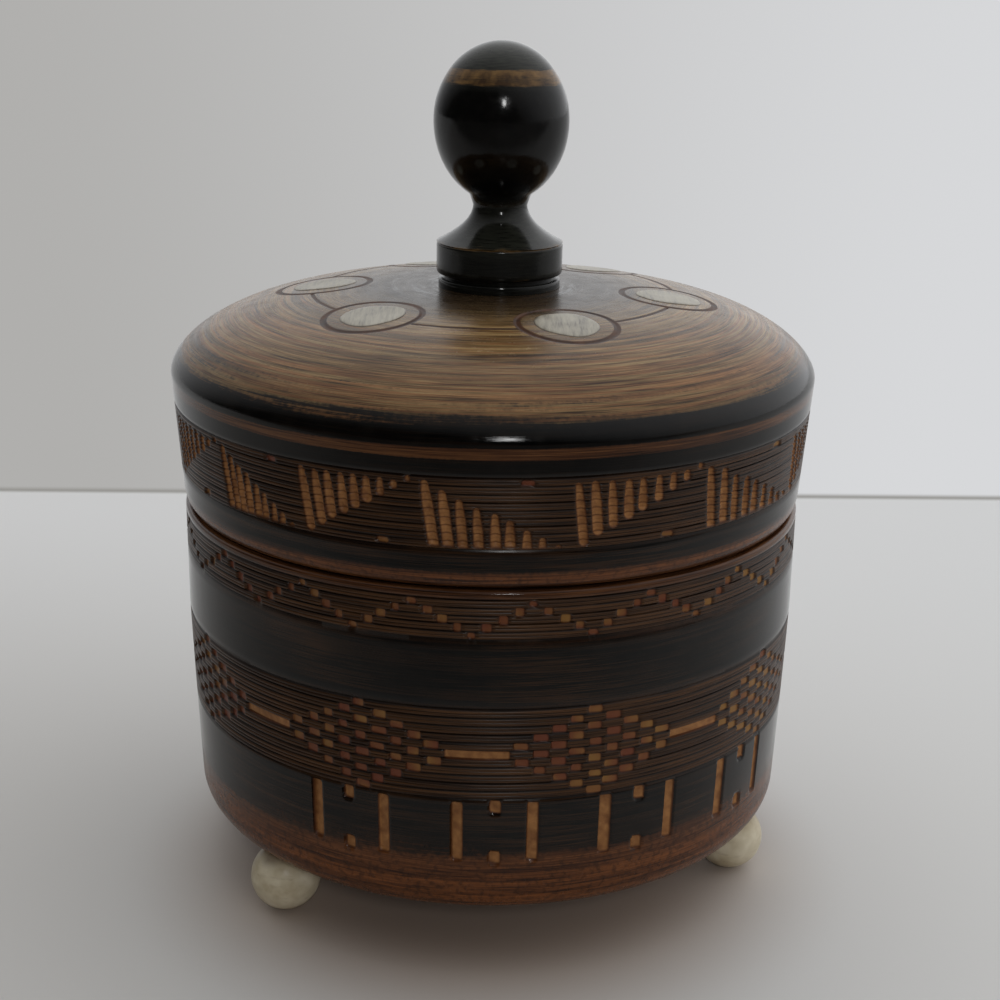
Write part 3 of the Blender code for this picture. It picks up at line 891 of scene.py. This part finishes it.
def knob_section():
    """Half section of the knob from its top down to the dome, then in along its underside."""
    waist = -math.acos(NECK_R / KNOB_R)
    rows = []
    for turn in spread(math.pi / 2 - 0.03, waist, 0.06):
        axis = KNOB_UPPER_AXIS if turn > 0 else KNOB_LOWER_AXIS
        rows.append((KNOB_R * math.cos(turn), KNOB_CENTRE + axis * math.sin(turn)))
    for step in range(25):
        share = step / 24
        flare = NECK_R + (COLLAR_R - NECK_R) * share ** 2
        rows.append((flare, NECK_TOP + (COLLAR_TOP - NECK_TOP) * share))
    edge = COLLAR_EDGE
    rows += arc(COLLAR_R - edge, COLLAR_TOP - edge, edge, math.pi / 4, 0, 4)
    rows += [(COLLAR_R, z) for z in spread(COLLAR_TOP - edge, COLLAR_BOTTOM + edge, EDGE_ROWS)]
    rows += arc(COLLAR_R - edge, COLLAR_BOTTOM + edge, edge, 0, -math.pi / 2, 5)
    rows += [(COLLAR_GROOVE_R, COLLAR_BOTTOM), (COLLAR_GROOVE_R, FLANGE_TOP)]
    rows += arc(FLANGE_R - FLANGE_EDGE, FLANGE_TOP - FLANGE_EDGE, FLANGE_EDGE, math.pi / 2, 0, 4)
    rows += [(FLANGE_R, FLANGE_FOOT)]
    rows += [(r, FLANGE_SUNK) for r in (FLANGE_R, FLANGE_R / 2, AXIS_GAP)]
    return np.array(rows) + np.array([[0.0, KNOB_SEAT_Z]])


def make_knob(lacquer):
    """The ball knob on its flared collar."""
    section = knob_section()
    columns = 160
    mesh = skin_mesh("turned_knob", section, columns)
    heights = (section[:, 1] - RIM_Z) / MM
    wear = between(heights, KNOB_WEAR)
    painted_sheen = between(heights, KNOB_PAINTED_SHEEN)
    add_layer(mesh, "painted_sheen", np.repeat(painted_sheen[:, None], columns, axis=1))
    add_layer(mesh, "run", np.repeat(run_of(section)[:, None], columns, axis=1))
    add_layer(mesh, "wear", np.repeat(wear[:, None], columns, axis=1))
    mesh.set_sharp_from_angle(angle=50 * DEGREE)
    mesh.transform(Matrix.Translation((KNOB_OFFSET, 0, 0)))
    return add_piece("turned_knob", mesh, lacquer, "lid", "lid_knob")


def make_inlay(number, place, shell):
    """A disc let into the dome: its face follows the dome, a hair proud, with a rounded edge."""
    x, y = place
    rings = [(share, INLAY_PROUD) for share in INLAY_RING_SHARES]
    rings += [(0.97, INLAY_EDGE_PROUD), (1.0, 0.0)]
    rings += [(1.0, -INLAY_SIDE_DEPTH), (0.6, -INLAY_UNDER_DEPTH)]
    columns = 64
    radius = INLAY_R * rng.uniform(0.97, 1.02)
    outwards = math.atan2(y, x)
    points = []
    for share, lift in rings:
        for column in range(columns):
            turn = 2 * math.pi * column / columns
            wobble = 1 + 0.02 * math.sin(3 * turn + number)
            wobble += 0.015 * math.sin(5 * turn + 2 * number)
            along = radius * wobble * share * math.cos(turn)
            across = INLAY_ACROSS_SHARE * radius * wobble * share * math.sin(turn)
            px = x + along * math.cos(outwards) - across * math.sin(outwards)
            py = y + along * math.sin(outwards) + across * math.cos(outwards)
            points.append((px, py, float(dome_z(math.hypot(px, py))) + lift))
    top = len(points)
    under = top + 1
    middle_z = float(dome_z(math.hypot(x, y)))
    points += [(x, y, middle_z + INLAY_PROUD), (x, y, middle_z - INLAY_UNDER_DEPTH)]
    faces = []
    for ring in range(len(rings) - 1):
        for column in range(columns):
            after = (column + 1) % columns
            low = ring * columns
            high = low + columns
            faces.append((low + column, high + column, high + after, low + after))
    last = (len(rings) - 1) * columns
    for column in range(columns):
        after = (column + 1) % columns
        faces.append((top, column, after))
        faces.append((under, last + after, last + column))
    mesh = bpy.data.meshes.new(f"shell_disc_{number}")
    mesh.from_pydata(points, [], faces)
    mesh.shade_smooth()
    mesh.set_sharp_from_angle(angle=50 * DEGREE)
    rim = [share if lift >= 0 else 1.0 for share, lift in rings for _ in range(columns)]
    add_layer(mesh, "rim", [max(0.0, (share - 0.9) * 10) for share in rim])
    node = f"inlay_disc_{number}"
    return add_piece(f"shell_disc_{number}", mesh, shell, "lid", node)


def make_foot(number, angle, ivory):
    """A ball foot with its worn flat."""
    start = -math.asin(FOOT_CENTRE_Z / FOOT_R)
    rows = [(AXIS_GAP, 0.0)]
    for turn in spread(start, math.pi / 2 - 0.04, 0.07) + [math.pi / 2 - 0.04]:
        rows.append((FOOT_R * math.cos(turn), max(0.0, FOOT_CENTRE_Z + FOOT_R * math.sin(turn))))
    section = np.array(rows)
    columns = 96
    mesh = skin_mesh(f"bone_foot_{number}", section, columns, outward=-1)
    wear = between(section[:, 1] / MM, FOOT_STAIN)
    add_layer(mesh, "wear", np.repeat(wear[:, None], columns, axis=1))
    place = (FOOT_CIRCLE_R * math.cos(angle), FOOT_CIRCLE_R * math.sin(angle), 0)
    mesh.transform(Matrix.Translation(place))
    return add_piece(f"bone_foot_{number}", mesh, ivory, "box", f"ball_foot_{number}")


# Floor, light and camera

def make_floor():
    """A plain pale floor, lighter towards the back, with painted light that makes it lighter to the
    right, painted shade in front and a warm painted shadow under the box.

    Its far part shows the wall behind to the camera, with painted light that makes the wall lighter
    to the right.
    """
    reach = FLOOR_REACH
    mesh = bpy.data.meshes.new("floor")
    corners = [(-reach, -reach, 0), (reach, -reach, 0), (reach, reach, 0), (-reach, reach, 0)]
    mesh.from_pydata(corners, [], [(0, 1, 2, 3)])
    n = Nodes("floor")
    split = n.add("SeparateXYZ", {0: n.place})
    across, depth = split.outputs["X"], split.outputs["Y"]
    # Painted light: the floor is lighter to the right, where more light falls.
    near = n.mix(n.step(across, -0.12, 0.12), srgb(202, 199, 194), srgb(224, 223, 220))
    near = n.mix(n.step(depth, -0.02, 0.155, 0.0, 0.7), near, srgb(240, 240, 239))
    # Painted shade: the floor darkens in front of the box, out of the picture, so the lacquer mirrors
    # a shaded floor there.
    near = n.mix(n.step(depth, -0.2, -0.05, 0.85, 0.0), near, srgb(66, 64, 61))
    # Painted shadow: the floor is darker and warmer under the box, standing in for its shadow and for
    # its brown mirrored in the table.
    painted_shade_place = n.vector("ADD", n.place, (0.0, PAINTED_SHADE_FORWARD, 0.0))
    away = n.add("VectorMath", {0: painted_shade_place}, operation="LENGTH").outputs["Value"]
    near = n.mix(n.step(away, 0.022, 0.05, 0.86, 0.0), near, srgb(156, 134, 116))
    n.finish(near, 0.6, n.bump(n.noise(n.place, 900.0, 2.0), 0.05, 0.0002))
    beyond = n.math("SUBTRACT", depth, n.math("MULTIPLY", across, WALL_SKEW))
    bearing = n.math("DIVIDE", across, n.math("ADD", depth, WALL_DEPTH))
    # Painted light: the wall is lighter to the right.
    far = n.mix(n.step(bearing, -0.33, 0.33), srgb(176, 175, 173), srgb(215, 216, 218))
    far = n.mix(n.step(beyond, WALL_DEPTH, WALL_DEPTH + 4 * MM), srgb(146, 144, 140), far)
    wall = n.add("Emission", {"Color": far}).outputs[0]
    past = n.step(beyond, WALL_DEPTH - 2 * MM, WALL_DEPTH + 1 * MM)
    seen = n.math("MULTIPLY", past, n.add("LightPath", {}).outputs["Is Camera Ray"])
    both = n.add("MixShader", {0: seen, 1: n.shader.outputs[0], 2: wall}).outputs[0]
    n.feed(n.tree.nodes["Material Output"].inputs["Surface"], both)
    mesh.materials.append(n.material)
    floor = bpy.data.objects.new("floor", mesh)
    bpy.context.scene.collection.objects.link(floor)


def make_lamp(name, place, width, height, power):
    """A soft upright lamp aimed at the box."""
    data = bpy.data.lights.new(name, "AREA")
    data.shape = "RECTANGLE"
    data.size = width
    data.size_y = height
    data.energy = power
    lamp = bpy.data.objects.new(name, data)
    bpy.context.scene.collection.objects.link(lamp)
    lamp.location = place
    aim = Vector(LAMP_AIM) - Vector(place)
    lamp.rotation_euler = aim.to_track_quat("-Z", "Y").to_euler()


def make_world():
    """Soft room light: bright above and behind, a little more so at the right, and dim in front."""
    world = bpy.data.worlds.new("room")
    bpy.context.scene.world = world
    world.use_nodes = True
    tree = world.node_tree
    background = tree.nodes["Background"]
    ray = tree.nodes.new("ShaderNodeTexCoord")
    lean = tree.nodes.new("ShaderNodeVectorMath")
    lean.operation = "DOT_PRODUCT"
    lean.inputs[1].default_value = ROOM_BRIGHT_WAY
    tree.links.new(ray.outputs["Generated"], lean.inputs[0])
    level = tree.nodes.new("ShaderNodeMapRange")
    for key, value in ROOM_LEVELS:
        level.inputs[key].default_value = value
    tree.links.new(lean.outputs["Value"], level.inputs["Value"])
    tree.links.new(level.outputs["Result"], background.inputs["Strength"])
    background.inputs["Color"].default_value = ROOM_COLOUR


def make_camera():
    """The photograph's camera."""
    data = bpy.data.cameras.new("camera")
    data.sensor_width = SENSOR
    data.lens = FOCAL_PIXELS * SENSOR / IMAGE_SIDE
    camera = bpy.data.objects.new("camera", data)
    bpy.context.scene.collection.objects.link(camera)
    pitch = Matrix.Rotation(math.pi / 2 - CAMERA_PITCH, 4, "X")
    roll = Matrix.Rotation(CAMERA_ROLL, 4, "Z")
    camera.matrix_world = Matrix.Translation(CAMERA_PLACE) @ pitch @ roll
    bpy.context.scene.camera = camera


make_camera()
make_floor()
make_world()
make_lamp("key", LAMP_PLACE, LAMP_WIDTH, LAMP_HEIGHT, LAMP_POWER)

WOOD = lacquered_wood()
make_lid(WOOD)
make_tub(WOOD)
make_knob(black_lacquer())
SHELL = shell_inlay()
for inlay, place in enumerate(inlay_places(), 1):
    make_inlay(inlay, place, SHELL)
IVORY = bone()
for foot, foot_turn in enumerate(FOOT_TURNS, 1):
    make_foot(foot, foot_turn * DEGREE, IVORY)

bpy.context.scene.view_settings.view_transform = "Standard"
